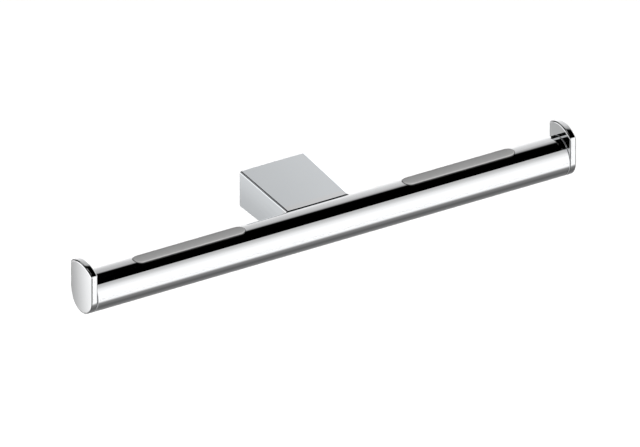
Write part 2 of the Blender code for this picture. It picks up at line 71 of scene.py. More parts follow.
# Tube, whose last fraction of a millimetre at each end is turned and not polished
TUBE_RADIUS = extent("bar_tube", Z) / 2
AXIS_TO_WALL = -middle("bar_tube", Y)
TUBE_WALL = 0.0015
TUBE_GAP = 0.00008
TUBE_RIM = 0.00015
TURNED_RING = 0.00037
TURNED_FADE = 0.0001
BORE_RADIUS = TUBE_RADIUS - TUBE_WALL
INNER_FIT_RADIUS = BORE_RADIUS - CLEARANCE

# End plates, whose depth is the tube's diameter, each with two bosses inside the tube
PLATE_OUTER_FACE = reach("end_plate_right", X)[1]
PLATE_TOP = reach("end_plate_right", Z)[1]
PLATE_THICKNESS = 0.004
PLATE_INNER_FACE = PLATE_OUTER_FACE - PLATE_THICKNESS
PLATE_TOP_RISE = 0.00355
PLATE_SHOULDER_HEIGHT = PLATE_TOP - PLATE_TOP_RISE
PLATE_EDGE = 0.0008
PLATE_EDGE_SEGMENTS = 4
PLATE_CROWN = 0.00014
PLATE_TILT_ACROSS = 0.0625
PLATE_TILT_UP = 0.006
PLATE_GRID = 0.0012
PLATE_CUT_SNAP = 0.00002
BOSS_RADIUS = 0.003
BOSS_LENGTH = PLATE_INNER_FACE - reach("end_plate_right", X)[0]
BOSS_OFFSET = INNER_FIT_RADIUS / 2
BOSS_HOLE_RADIUS = 0.0018
BOSS_HOLE_SKIN = 0.0028
TUBE_HALF_LENGTH = PLATE_INNER_FACE - TUBE_GAP

# Brake pads: the rings are fine at the rim and together span the rounded edge
PAD_LIP_REACH = 0.0015
PAD_LIP_EDGE = 0.0003
PAD_UNDERSIDE = 0.0065
PAD_LENGTH = extent("brake_pad_right", X) - 2 * PAD_LIP_REACH
PAD_FROM_MIDDLE = middle("brake_pad_right", X)
PAD_WIDTH = 0.0082
PAD_PROUD = 0.0006
PAD_PULL = 0.004
PAD_EDGE = 0.0009
PAD_EDGE_RINGS = (0.00004, 0.00006, 0.0001, 0.00015, 0.00022, 0.00033)
PAD_CROWN_RADIUS = 0.019
PAD_GRID = 0.0005
PAD_CUT_SNAP = 0.00001
PAD_SMALL_FACE_AREA = 0.0000004
# Painted highlight: the rubber lightens between these depths below the crown
PAD_HIGHLIGHT_DEPTH = (0.00001, 0.0001)
# Painted shade: the rubber darkens to near black between these depths below the crown
PAD_SHADE_DEPTH = (0.00018, 0.00064)
SLOT_GAP = 0.00015

# Mounting block, a hollow casting: its width and height at the wall and at the tube's axis
BLOCK_WALL_SIZE = (0.0396, 0.0216)
BLOCK_BAR_SIZE = (0.0378, 0.0192)
BLOCK_DROP = 0.00015
BLOCK_SIDEWAYS = 0.00015
BLOCK_EDGE = 0.001
BLOCK_EDGE_SEGMENTS = 2
BLOCK_BACK_EDGE = 0.0004
BLOCK_BACK_SEGMENTS = 3
BLOCK_SIDE_CROWN = 0.00008
BLOCK_TOP_CROWN = 0.0001
BLOCK_GRID = 0.004
BLOCK_SHELL = 0.0025
# Painted reflection: the block's chrome takes a cooler tint on the wall side of these Y values
BLOCK_REFLECTED_TINT = (-0.0445, -0.0425)
CAVITY_CORNER = 0.001
CAVITY_SEGMENTS = 4
SADDLE_GAP = 0.00015
SADDLE_WALL = 0.003
SADDLE_HALF_LENGTH = 0.03
CAVITY_DEPTH = AXIS_TO_WALL - TUBE_RADIUS - CLEARANCE - SADDLE_WALL

# Cut along the block's front edges, above and below the tube
FRONT_CUT_SETBACK = 0.00115
FRONT_CUT_LIFT = 0.0001
FRONT_CUT_LEAN = math.radians(30)
FRONT_CUT_SIZE = (0.06, 0.01, 0.006)

# Screw holes
BAR_SCREW_SPACING = 2 * middle("bar_screw_right", X)
BAR_SCREW_RADIUS = 0.002
GRUB_RADIUS = extent("bracket_grub_screw", X) / 2
GRUB_FROM_WALL = -middle("bracket_grub_screw", Y)

# How finely shapes are divided, and which edges count as sharp
ROUND_STEPS = 256
ARC_STEPS = 48
FASTENER_STEPS = 48
MERGE_DISTANCE = 0.000002
EDGE_ANGLE = math.radians(40)
SHARP_ANGLE = math.radians(32)
FACET_ANGLE = math.radians(15)
NEARLY_ONE = 0.99

QUARTER_TURN = math.pi / 2
HALF_TURN = math.pi
BAR_CENTRE = Vector((0, -AXIS_TO_WALL, 0))
UPRIGHT = Matrix.Identity(4)
TO_X = Matrix.Rotation(QUARTER_TURN, 4, "Y")
TO_Y = Matrix.Rotation(-QUARTER_TURN, 4, "X")
ALONG_X = Vector((1, 0, 0))
ALONG_Y = Vector((0, 1, 0))
ALONG_Z = Vector((0, 0, 1))
SIDES = (("left", -1), ("right", 1))
UP_AND_DOWN = (1, -1)

# Camera
VIEW_AZIMUTH = math.radians(30.238)
VIEW_ELEVATION = math.radians(29.841)
VIEW_WIDTH = 0.3365
VIEW_DISTANCE = 1.0
VIEW_DEPTH = (0.1, 30)
AIM_RIGHT = -0.001882
AIM_UP = 0.00009

# How far to the side the tube mirrors the camera's view, for a sight line of length 1 and for
# a distance of 1 away from the tube's axis
VIEW_SIDEWAYS = math.sin(VIEW_AZIMUTH) * math.cos(VIEW_ELEVATION)
SIDEWAYS_SLOPE = VIEW_SIDEWAYS / math.sqrt(1 - VIEW_SIDEWAYS ** 2)

# Floor, and the cards that only mirrors see: two opposite corners, or all four
FLOOR_LEVEL = -1.2
FLOOR_SIZE = 5.0
FLOOR_LIFT = 0.12
LOW_LEVEL = FLOOR_LEVEL + 0.01
UNDER_CARD = ((-5.0, -1.9), (5.0, 2.49))
SIDE_CARD = ((-1.3, -2.5), (-0.1, -1.9))
BACK_CARD = ((0.8, -0.9), (1.95, 2.45))
BACK_CARD_Y = 2.0
SHADE_CARD = ((-0.6, -0.46), (-0.25, 0.69))
SHADE_CARD_Y = 1.0
OVERHEAD_CARD = ((-1.2, -0.866), (2.131, -0.866), (0.127, 1.9), (-1.2, 1.9))
OVERHEAD_LEVEL = 1.2

# Levels of light, where 1 is white, each at a place in metres or a turn about X in degrees.
# The turn is 0 straight behind the holder, 90 overhead, 180 in front and -90 straight below.
LIGHT_STRIPS = (
    (-180, 1.08), (-30, 1.0), (-10, 0.97), (0, 0.91), (8, 0.82), (22, 0.69), (38, 0.58),
    (54, 0.53), (125, 0.50), (134, 0.583), (142, 0.715), (150, 0.89), (166, 1.08),
)
UNDER_CARD_LIGHT = (
    (-1.86, 1.08), (-1.41, 1.00), (-1.18, 0.62), (-1.02, 0.33), (-0.82, 0.205), (-0.60, 0.171),
    (-0.41, 0.131), (-0.23, 0.117), (0.10, 0.162), (0.28, 0.190), (0.47, 0.23), (0.94, 0.38),
    (1.80, 0.50), (2.36, 1.01),
)
UNDER_CARD_LEFT_LIGHT = (
    (-1.42, 1.04), (-1.37, 0.925), (-1.35, 0.912), (-1.31, 0.855), (-1.22, 0.713), (-1.14, 0.602),
    (-1.10, 0.541), (-1.055, 0.505), (-1.01, 0.443), (-0.93, 0.40),
)
OVERHEAD_LIGHT = (
    (-0.09, 0.0), (-0.034, 0.025), (0.008, 0.115), (0.05, 0.25), (0.122, 0.41), (0.218, 0.46),
    (0.35, 0.52),
)
SIDE_CARD_LIGHT = 0.22
OVERHEAD_EDGE = (0.551, 0.718)
OVERHEAD_SLOPE = 1.38

# Soft-edged patches on the cards: (start, full), (still full, end) or all four of these. Where
# there are two pairs, the first is for X and the second for Y.
FAR_LEFT_X = (-0.93, -0.88)
FAR_LEFT_Y = (-0.2, 0.35)
NEAR_SHADE = 0.68
NEAR_SHADE_X = (-0.3, 0.0)
NEAR_SHADE_Y = (-0.6, -0.3)
RIGHT_SHADE = 0.6
RIGHT_SHADE_X = (1.35, 1.6)
RIGHT_SHADE_Y = (0.3, 0.8)
BACK_SHADE_X = (-0.7, -0.6, 0.78, 0.86)
BACK_SHADE_Y = (1.9, 2.0)
LEFT_PATCH = 0.45
LEFT_PATCH_X = (-0.62, -0.42)
LEFT_PATCH_Y = (0.88, 1.12)
ABOVE_PATCH = 0.4
ABOVE_PATCH_BACK = ((-0.40, -0.25), (0.02, 0.14))
ABOVE_PATCH_FRONT = ((0.15, 0.19), (-0.2, -0.1))
ABOVE_PATCH_END = ((0.34, 0.38), (0.33, 0.40))
SHADE_BAND_REACH = (0.04, 0.06)
SHADE_BAND_Z = (-0.456, -0.342, 0.579, 0.684)
BACK_CARD_FADE = (-0.9, 0.0)

# The world's light as mirrors see it: X of the sight line, and its turn in degrees
LEFT_END = 1.05
LEFT_END_X = (-0.60, -0.42)
RIGHT_END = 0.80
RIGHT_END_X = (0.70, 0.90)
FLAG_START = 0.38
FLAG_SLANT = 0.019
FLAG_EDGE = (0.0, 0.12)
FLAG_X = (0.38, 0.425)
FLAG_TURN = (-22.68, -19.08, 100.8, 108.0)
FAR_FLAG_X = (-0.54, -0.46)
FAR_FLAG_TURN = (97.2, 100.8, 138.6, 144.0)
FAINT_FLAG = 0.45
FAINT_FLAG_REACH = (0.04, 0.07)
FAINT_FLAG_TURN = (-23.4, -18.0, 28.8, 33.1)
FRONT_SHADE = 0.38
FRONT_SHADE_REACH = (0.0447, 0.0894)
FRONT_SHADE_Y = (-0.3, -0.05)

# Soft light on dull surfaces
SOFT_LIGHT = 0.22
SOFT_LIGHT_PER_Y = -0.08
SOFT_LIGHT_PER_Z = -0.03
FRONT_LIGHT = 1.35
FRONT_LIGHT_SPREAD = math.radians(30)
FRONT_LIGHT_PLACE = (-0.2, -1.8, 1.4)


# Shader maths

class Field:
    """A value that varies over a surface; sums and products of fields add their nodes."""

    def __init__(self, shading, socket):
        self.shading = shading
        self.socket = socket

    def output(self, name):
        return Field(self.shading, self.socket.node.outputs[name])

    def maths(self, operation, first, second=0.0):
        return self.shading.add("ShaderNodeMath", {"operation": operation}, {0: first, 1: second})

    def __add__(self, other):
        return self.maths("ADD", self, other)

    def __radd__(self, other):
        return self.maths("ADD", other, self)

    def __sub__(self, other):
        return self.maths("SUBTRACT", self, other)

    def __rsub__(self, other):
        return self.maths("SUBTRACT", other, self)

    def __mul__(self, other):
        return self.maths("MULTIPLY", self, other)

    def __rmul__(self, other):
        return self.maths("MULTIPLY", other, self)

    def __truediv__(self, other):
        return self.maths("DIVIDE", self, other)

    def highest(self, other):
        return self.maths("MAXIMUM", self, other)

    def lowest(self, other):
        return self.maths("MINIMUM", self, other)

    def root(self):
        return self.maths("SQRT", self)

    def degrees_over(self, other):
        return self.maths("ARCTAN2", self, other) * math.degrees(1)

    def after(self, start, full):
        """Rises smoothly from nought at start to one at full."""
        settings = {"interpolation_type": "SMOOTHSTEP", "clamp": True}
        return self.shading.add("ShaderNodeMapRange", settings, {0: self, 1: start, 2: full})

    def before(self, full, end):
        """Falls smoothly from one at full to nought at end."""
        return 1.0 - self.after(full, end)

    def between(self, start, full, still_full, end):
        return self.after(start, full) * self.before(still_full, end)

    def near(self, centre, full, end):
        """One within the distance full of a centre, and nought beyond the distance end."""
        away = self - centre
        return (away * away).before(full ** 2, end ** 2)


class Shading:
    """The nodes of one material, or of the world."""

    def __init__(self, owner):
        owner.use_nodes = True
        self.tree = owner.node_tree
        self.tree.nodes.clear()

    def add(self, kind, settings=None, values=None, output=0):
        node = self.tree.nodes.new(kind)
        for name, setting in (settings or {}).items():
            if name == "stops":
                self.set_stops(node.color_ramp, setting)
            else:
                setattr(node, name, setting)
        for key, value in (values or {}).items():
            if isinstance(value, Field):
                self.tree.links.new(value.socket, node.inputs[key])
            else:
                node.inputs[key].default_value = value
        return Field(self, node.outputs[output]) if len(node.outputs) else None

    def set_stops(self, ramp, stops):
        while len(ramp.elements) < len(stops):
            ramp.elements.new(1.0)
        for element, (place, level) in zip(ramp.elements, stops):
            element.position = place
            element.color = (level, level, level, 1.0)

    def ramp(self, value, levels):
        """Grey levels along a value, straight from each (place, level) to the next."""
        start = levels[0][0]
        span = levels[-1][0] - start
        stops = [((place - start) / span, level) for place, level in levels]
        return self.add("ShaderNodeValToRGB", {"stops": stops}, {0: (value - start) / span})

    def place(self):
        return self.add("ShaderNodeTexCoord", output="Object")

    def parts(self, vector):
        return self.add("ShaderNodeSeparateXYZ", {}, {0: vector})

    def noise(self, vector, scale, detail=2.0, stretch=(1, 1, 1)):
        stretched = self.add("ShaderNodeMapping", {}, {"Vector": vector, "Scale": stretch})
        values = {"Vector": stretched, "Scale": scale, "Detail": detail}
        return self.add("ShaderNodeTexNoise", {}, values)

    def blend(self, factor, first, second):
        ends = [end if isinstance(end, Field) else (*end, 1.0) for end in (first, second)]
        values = {0: factor, 6: ends[0], 7: ends[1]}
        return self.add("ShaderNodeMix", {"data_type": "RGBA"}, values, output=2)

    def bump(self, height, distance):
        values = {"Height": height, "Distance": distance, "Strength": 1.0}
        return self.add("ShaderNodeBump", {}, values)


# Finishes

def new_finish(name, values, build):
    """A material whose surface is set by constants and by the fields that build returns."""
    material = bpy.data.materials.new(name)
    shading = Shading(material)
    values = {**values, **build(shading)}
    surface = shading.add("ShaderNodeBsdfPrincipled", {}, values)
    shading.add("ShaderNodeOutputMaterial", {}, {"Surface": surface})
    return material


def turned_ring(spot):
    """The narrow ring at each end of the tube that isn't polished."""
    outward = spot.output("X").highest(0.0 - spot.output("X"))
    start = TUBE_HALF_LENGTH - TURNED_RING
    end = TUBE_HALF_LENGTH + TUBE_GAP / 2
    return outward.between(start, start + TURNED_FADE, TUBE_HALF_LENGTH + TUBE_GAP / 8, end)


def polished_chrome():
    """Bright plating, nearly a mirror, with faint polishing haze; the block gets a cooler tint, a
    painted reflection.
    """
    def build(shading):
        place = shading.place()
        spot = shading.parts(place)
        haze = shading.noise(place, 70, 3.0)
        polish = shading.noise(place, 420, 2.0, (0.15, 1, 1))
        ripple = shading.noise(place, 160, 1.0)
        bar = shading.blend(haze, (0.917, 0.928, 0.940), (0.945, 0.952, 0.960))
        # Painted reflection: a cooler tint for the block's chrome
        block = shading.blend(haze, (0.905, 0.939, 0.969), (0.932, 0.963, 0.989))
        return {
            "Base Color": shading.blend(spot.output("Y").after(*BLOCK_REFLECTED_TINT), bar, block),
            "Roughness": 0.025 + haze * 0.03 + polish * 0.015 + turned_ring(spot) * 0.6,
            "Normal": shading.bump(ripple + polish * 0.2, 0.0000004),
        }
    return new_finish("polished_chrome", {"Metallic": 1.0}, build)


def depth_in_pad(spot):
    """How far a point lies below the pad's crown."""
    across = spot.output("Y") + AXIS_TO_WALL
    return TUBE_RADIUS + PAD_PROUD - across * across / (2 * PAD_CROWN_RADIUS) - spot.output("Z")


def brake_elastomer():
    """Moulded grey rubber: dull, with a fine grain, a painted highlight along its edge and painted
    shade down its rounded side into its gap.
    """
    def build(shading):
        place = shading.place()
        depth = depth_in_pad(shading.parts(place))
        cloud = shading.noise(place, 90, 3.0)
        grain = shading.noise(place, 5200, 2.0)
        streak = shading.noise(place, 900, 3.0, (0.03, 1, 1))
        tone = cloud * 0.5 + grain * 0.3 + streak * 0.2
        rubber = shading.blend(tone, (0.238, 0.238, 0.238), (0.318, 0.318, 0.316))
        # Painted highlight along the top of the rounded edge
        highlighted = shading.blend(depth.after(*PAD_HIGHLIGHT_DEPTH) * 0.6, rubber, (0.375, 0.375, 0.372))
        # Painted shade down the rounded edge and into the gap
        dark = depth.after(*PAD_SHADE_DEPTH)
        return {
            "Base Color": shading.blend(dark, highlighted, (0.012, 0.012, 0.012)),
            "Roughness": 0.58 + grain * 0.12 + streak * 0.08,
            "Normal": shading.bump(grain + streak * 0.5, 0.000012),
        }
    return new_finish("brake_elastomer", {"Metallic": 0.0, "Specular IOR Level": 0.35}, build)


def plug_nylon():
    """Moulded black nylon with a fine spark grain."""
    def build(shading):
        place = shading.place()
        cloud = shading.noise(place, 150, 2.0)
        grain = shading.noise(place, 3600, 2.0)
        return {
            "Base Color": shading.blend(cloud, (0.022, 0.022, 0.023), (0.040, 0.040, 0.041)),
            "Roughness": 0.42 + grain * 0.16,
            "Normal": shading.bump(grain, 0.00002),
        }
    return new_finish("plug_nylon", {"Metallic": 0.0}, build)


def bracket_zinc():
    """Die-cast zinc, left as cast: a dull grey metal with a pebbled skin."""
    def build(shading):
        place = shading.place()
        cloud = shading.noise(place, 220, 4.0)
        skin = shading.noise(place, 1500, 3.0)
        return {
            "Base Color": shading.blend(cloud, (0.40, 0.41, 0.43), (0.56, 0.57, 0.59)),
            "Roughness": 0.36 + skin * 0.18,
            "Normal": shading.bump(skin + cloud * 0.4, 0.00005),
        }
    return new_finish("bracket_zinc", {"Metallic": 1.0}, build)


def fastener_steel():
    """Bright steel with fine machining lines."""
    def build(shading):
        place = shading.place()
        lines = shading.noise(place, 2600, 2.0, (1, 0.2, 1))
        cloud = shading.noise(place, 300, 2.0)
        return {
            "Base Color": shading.blend(cloud, (0.52, 0.52, 0.51), (0.64, 0.64, 0.62)),
            "Roughness": 0.24 + lines * 0.14,
            "Normal": shading.bump(lines, 0.00001),
        }
    return new_finish("fastener_steel", {"Metallic": 1.0}, build)


FINISHES = {
    "polished_chrome": polished_chrome(),
    "brake_elastomer": brake_elastomer(),
    "plug_nylon": plug_nylon(),
    "bracket_zinc": bracket_zinc(),
    "fastener_steel": fastener_steel(),
}


# Shapes

def only(kind, items):
    return [item for item in items if isinstance(item, kind)]


def lathe(profile, steps, closed=False):
    """Turns points (radius, height) once round Z."""
    shape = bmesh.new()
    points = [shape.verts.new((radius, 0, height)) for radius, height in profile]
    edges = [shape.edges.new(pair) for pair in zip(points, points[1:])]
    if closed:
        edges.append(shape.edges.new((points[-1], points[0])))
    bmesh.ops.spin(shape, geom=points + edges, cent=(0, 0, 0), axis=(0, 0, 1),
                   angle=math.tau, steps=steps, use_merge=True)
    bmesh.ops.remove_doubles(shape, verts=shape.verts, dist=MERGE_DISTANCE)
    bmesh.ops.recalc_face_normals(shape, faces=shape.faces)
    return shape


def rod(radius, start, end, steps):
    return lathe([(0, start), (radius, start), (radius, end), (0, end)], steps)


def moved(shape, place, turn=UPRIGHT):
    bmesh.ops.transform(shape, matrix=Matrix.Translation(place) @ turn, verts=shape.verts)
    return shape


def mirrored(shape, scale):
    bmesh.ops.scale(shape, vec=scale, verts=shape.verts)
    bmesh.ops.recalc_face_normals(shape, faces=shape.faces)
    return shape


def sharp_edges(shape):
    return [edge for edge in shape.edges if edge.calc_face_angle(0) > EDGE_ANGLE]


def round_off(shape, edges, radius, segments):
    bmesh.ops.bevel(shape, geom=edges, offset=radius, offset_type="OFFSET", affect="EDGES",
                    segments=segments, profile=0.5, material=-1, clamp_overlap=False)
    return shape


def slice_faces(shape, faces, direction, distance, snap):
    """Cuts the faces by a plane across a direction, so that they can be domed."""
    items = dict.fromkeys(item for face in faces for item in (*face.verts, *face.edges, face))
    bmesh.ops.bisect_plane(shape, geom=list(items), plane_co=direction * distance,
                           plane_no=direction, dist=snap)


def raised(shape, face, rise):
    """Pulls a face up, leaves walls behind it and returns the moved face."""
    pulled = bmesh.ops.extrude_face_region(shape, geom=[face])["geom"]
    bmesh.ops.translate(shape, verts=only(bmesh.types.BMVert, pulled), vec=rise)
    return only(bmesh.types.BMFace, pulled)[0]


def closed_up(shape):
    bmesh.ops.holes_fill(shape, edges=[edge for edge in shape.edges if edge.is_boundary])
    bmesh.ops.recalc_face_normals(shape, faces=shape.faces)
    return shape


def new_object(name, shape):
    mesh = bpy.data.meshes.new(name)
    shape.to_mesh(mesh)
    shape.free()
    item = bpy.data.objects.new(name, mesh)
    bpy.context.scene.collection.objects.link(item)
    return item


def carve(shape, tool, operation="DIFFERENCE"):
    """Takes one shape from another, or joins them, and returns the result."""
    body = new_object("carved", shape)
    other = new_object("tool", tool)
    cut = body.modifiers.new("cut", "BOOLEAN")
    cut.operation = operation
    cut.solver = "EXACT"
    cut.object = other
    evaluated = body.evaluated_get(bpy.context.evaluated_depsgraph_get())
    result = bpy.data.meshes.new_from_object(evaluated)
    for item in (body, other):
        mesh = item.data
        bpy.data.objects.remove(item)
        bpy.data.meshes.remove(mesh)
    carved = bmesh.new()
    carved.from_mesh(result)
    bpy.data.meshes.remove(result)
    bmesh.ops.remove_doubles(carved, verts=carved.verts, dist=MERGE_DISTANCE)
    return carved


def finish_piece(shape, name, node, slot, sharp=SHARP_ANGLE):
    """Makes the shape a piece that stands for a node, with the finish of one of the slots."""
    piece = new_object(name, shape)
    piece.data.materials.clear()
    piece.data.materials.append(FINISHES[slot])
    piece.data.shade_smooth()
    piece.data.set_sharp_from_angle(angle=sharp)
    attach(piece, "root")
    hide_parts(node)
    return piece


def even_shading(piece):
    """Lets the big faces set the shading of the rounded edges between them."""
    even = piece.modifiers.new("even_shading", "WEIGHTED_NORMAL")
    even.mode = "FACE_AREA"
    even.weight = 100
    even.keep_sharp = True


def screw_hole(sign, start, end):
    """The hole for a bar screw, between two distances from the tube's axis towards the wall."""
    hole = rod(BAR_SCREW_RADIUS + CLEARANCE, start, end, FASTENER_STEPS)
    return moved(hole, BAR_CENTRE + ALONG_X * sign * BAR_SCREW_SPACING / 2, TO_Y)


# Tube

def stadium(length, width, height):
    """A flat strip with round ends, along X at this height."""
    shape = bmesh.new()
    half = (length - width) / 2
    start = shape.verts.new((half, -width / 2, height))
    right = bmesh.ops.spin(shape, geom=[start], cent=(half, 0, height), axis=(0, 0, 1),
                           angle=HALF_TURN, steps=ARC_STEPS // 2)["geom_last"]
    across = bmesh.ops.extrude_vert_indiv(shape, verts=only(bmesh.types.BMVert, right))["verts"]
    bmesh.ops.translate(shape, verts=across, vec=(-2 * half, 0, 0))
    left = bmesh.ops.spin(shape, geom=across, cent=(-half, 0, height), axis=(0, 0, 1),
                          angle=HALF_TURN, steps=ARC_STEPS // 2)["geom_last"]
    shape.edges.new((only(bmesh.types.BMVert, left)[0], start))
    bmesh.ops.contextual_create(shape, geom=shape.edges[:])
    return shape


def pad_slot(sign):
    slot = stadium(PAD_LENGTH + 2 * SLOT_GAP, PAD_WIDTH + 2 * SLOT_GAP, 0)
    slot.faces.ensure_lookup_table()
    raised(slot, slot.faces[0], (0, 0, TUBE_RADIUS + OVERRUN))
    closed_up(slot)
    return moved(slot, BAR_CENTRE + ALONG_X * sign * PAD_FROM_MIDDLE)


def follow_the_round(piece, radii):
    """Gives the tube's long faces the shading of a true cylinder of each of these radii."""
    mesh = piece.data
    normals = [corner.vector.copy() for corner in mesh.corner_normals]
    for face in mesh.polygons:
        outward = face.center - BAR_CENTRE
        outward.x = 0
        way = face.normal.dot(outward.normalized())
        for corner in face.loop_indices:
            spot = mesh.vertices[mesh.loops[corner].vertex_index].co - BAR_CENTRE
            spot.x = 0
            on_round = any(abs(spot.length - radius) < MERGE_DISTANCE for radius in radii)
            if on_round and abs(way) > NEARLY_ONE:
                normals[corner] = spot.normalized() * math.copysign(1, way)
    mesh.normals_split_custom_set(normals)


def make_tube():
    half = TUBE_HALF_LENGTH
    profile = [
        (TUBE_RADIUS - TUBE_RIM, half),
        (TUBE_RADIUS, half - TUBE_RIM),
        (TUBE_RADIUS, TUBE_RIM - half),
        (TUBE_RADIUS - TUBE_RIM, -half),
        (BORE_RADIUS, -half),
        (BORE_RADIUS, half),
    ]
    tube = moved(lathe(profile, ROUND_STEPS, closed=True), BAR_CENTRE, TO_X)
    for side, sign in SIDES:
        tube = carve(tube, pad_slot(sign))
        tube = carve(tube, screw_hole(sign, BORE_RADIUS - OVERRUN, TUBE_RADIUS + OVERRUN))
    piece = finish_piece(tube, "chromed_tube", "bar_tube", "polished_chrome")
    follow_the_round(piece, (TUBE_RADIUS, BORE_RADIUS))


# Brake pads

def inside_edge(spot):
    """How far a point of the pad lies inside its outline."""
    beyond = max(abs(spot.x) - (PAD_LENGTH - PAD_WIDTH) / 2, 0)
    return PAD_WIDTH / 2 - math.hypot(beyond, spot.y)


def pad_height(spot):
    """The pad is a little flatter than the tube, and drops in a quarter round at its edge."""
    crown = TUBE_RADIUS + PAD_PROUD - spot.y ** 2 / (2 * PAD_CROWN_RADIUS)
    short = max(PAD_EDGE - max(inside_edge(spot), 0), 0)
    return crown - (PAD_EDGE - math.sqrt(PAD_EDGE ** 2 - short ** 2))


def pad_lip():
    """The strip inside the tube that holds the pad, and the face that the pad grows from."""
    shape = stadium(PAD_LENGTH + 2 * PAD_LIP_REACH, PAD_WIDTH + 2 * PAD_LIP_REACH, PAD_UNDERSIDE)
    shape.faces.ensure_lookup_table()
    top = raised(shape, shape.faces[0], (0, 0, PAD_LIP_EDGE))
    bmesh.ops.inset_region(shape, faces=[top], thickness=PAD_LIP_REACH, use_even_offset=True)
    for vert in shape.verts:
        if vert.co.z > PAD_UNDERSIDE + PAD_LIP_EDGE / 2:
            vert.co.z = math.sqrt(INNER_FIT_RADIUS ** 2 - vert.co.y ** 2)
    return shape, top


def slice_crown(shape):
    """Cuts the crown's larger faces lengthwise; the small ones at its edge stay whole."""
    cuts = int(PAD_WIDTH / 2 / PAD_GRID)
    for cut in range(-cuts, cuts + 1):
        crown = [face for face in shape.faces
                 if min(vert.co.z for vert in face.verts) > TUBE_RADIUS]
        large = [face for face in crown if face.calc_area() > PAD_SMALL_FACE_AREA]
        slice_faces(shape, large, ALONG_Y, cut * PAD_GRID, PAD_CUT_SNAP)


def make_pad(side, sign):
    shape, top = pad_lip()
    top = raised(shape, top, (0, 0, PAD_PULL))
    for ring in PAD_EDGE_RINGS:
        bmesh.ops.inset_region(shape, faces=[top], thickness=ring, use_even_offset=True)
    slice_crown(shape)
    for vert in shape.verts:
        if vert.co.z > TUBE_RADIUS:
            vert.co.z = pad_height(vert.co)
    closed_up(shape)
    moved(shape, BAR_CENTRE + ALONG_X * sign * PAD_FROM_MIDDLE)
    piece = finish_piece(shape, "rubber_pad_" + side, "brake_pad_" + side, "brake_elastomer")
    even_shading(piece)


# End plates

def plate_sheet():
    """The plate's outline as one face: round below, straight sides, a shallow arc on top."""
    shape = bmesh.new()
    start = shape.verts.new((PLATE_INNER_FACE, -AXIS_TO_WALL - TUBE_RADIUS, 0))
    below = bmesh.ops.spin(shape, geom=[start], cent=(PLATE_INNER_FACE, -AXIS_TO_WALL, 0),
                           axis=(1, 0, 0), angle=HALF_TURN, steps=2 * ARC_STEPS)["geom_last"]
    shoulder = bmesh.ops.extrude_vert_indiv(shape, verts=only(bmesh.types.BMVert, below))["verts"]
    bmesh.ops.translate(shape, verts=shoulder, vec=(0, 0, PLATE_SHOULDER_HEIGHT))
    radius = (TUBE_RADIUS ** 2 + PLATE_TOP_RISE ** 2) / (2 * PLATE_TOP_RISE)
    centre = (PLATE_INNER_FACE, -AXIS_TO_WALL, PLATE_TOP - radius)
    above = bmesh.ops.spin(shape, geom=shoulder, cent=centre, axis=(1, 0, 0),
                           angle=2 * math.asin(TUBE_RADIUS / radius), steps=ARC_STEPS)["geom_last"]
    shape.edges.new((only(bmesh.types.BMVert, above)[0], start))
    bmesh.ops.contextual_create(shape, geom=shape.edges[:])
    return shape


def crown_at(spot):
    """How far the plate's outer face stands out at a point: a very slight dome."""
    across = (spot.y + AXIS_TO_WALL) / TUBE_RADIUS
    half_height = (PLATE_TOP + TUBE_RADIUS) / 2
    up = (spot.z - (PLATE_TOP - TUBE_RADIUS) / 2) / half_height
    fall = PLATE_TILT_ACROSS * TUBE_RADIUS * across ** 2 + PLATE_TILT_UP * half_height * up ** 2
    return PLATE_CROWN - fall / 2


def slice_outer_face(shape, direction, low, high):
    count = round((high - low) / PLATE_GRID)
    for step in range(1, count):
        outer = [face for face in shape.faces
                 if min(vert.co.x for vert in face.verts) > PLATE_OUTER_FACE - MERGE_DISTANCE]
        slice_faces(shape, outer, direction, low + (high - low) * step / count, PLATE_CUT_SNAP)


def crown_plate(shape):
    """Domes the outer face; the rounded edge goes along by its share of the thickness."""
    slice_outer_face(shape, ALONG_Y, -AXIS_TO_WALL - TUBE_RADIUS, -AXIS_TO_WALL + TUBE_RADIUS)
    slice_outer_face(shape, ALONG_Z, -TUBE_RADIUS, PLATE_TOP)
    for vert in shape.verts:
        share = (vert.co.x - PLATE_INNER_FACE) / PLATE_THICKNESS
        vert.co.x += crown_at(vert.co) * max(share, 0)
    return shape


def with_boss(shape, way):
    """Adds a boss that reaches into the tube, above or below its axis, and drills it."""
    place = BAR_CENTRE + ALONG_X * PLATE_INNER_FACE + ALONG_Z * way * BOSS_OFFSET
    boss = rod(BOSS_RADIUS, -BOSS_LENGTH, PLATE_THICKNESS / 2, FASTENER_STEPS)
    shape = carve(shape, moved(boss, place, TO_X), "UNION")
    hole = rod(BOSS_HOLE_RADIUS, -BOSS_LENGTH - OVERRUN, PLATE_THICKNESS - BOSS_HOLE_SKIN,
               FASTENER_STEPS)
    return carve(shape, moved(hole, place, TO_X))


def make_plate(side, sign):
    shape = plate_sheet()
    shape.faces.ensure_lookup_table()
    raised(shape, shape.faces[0], (PLATE_THICKNESS, 0, 0))
    closed_up(shape)
    round_off(shape, sharp_edges(shape), PLATE_EDGE, PLATE_EDGE_SEGMENTS)
    crown_plate(shape)
    for way in UP_AND_DOWN:
        shape = with_boss(shape, way)
    if sign < 0:
        mirrored(shape, (-1, 1, 1))
    piece = finish_piece(shape, "chromed_plate_" + side, "end_plate_" + side, "polished_chrome")
    even_shading(piece)


# Mounting block

def block_size(distance):
    """The block's width and height at a distance from the wall."""
    share = distance / AXIS_TO_WALL
    return [wall + (bar - wall) * share for wall, bar in zip(BLOCK_WALL_SIZE, BLOCK_BAR_SIZE)]


def tapered_box(near, far, inset):
    """The block's taper between two distances from the wall, set in all round."""
    shape = bmesh.new()
    bmesh.ops.create_cube(shape, size=1)
    for vert in shape.verts:
        distance = near if vert.co.y > 0 else far
        width, height = block_size(distance)
        vert.co.x *= width - 2 * inset
        vert.co.z *= height - 2 * inset
        vert.co.y = -distance
    return shape


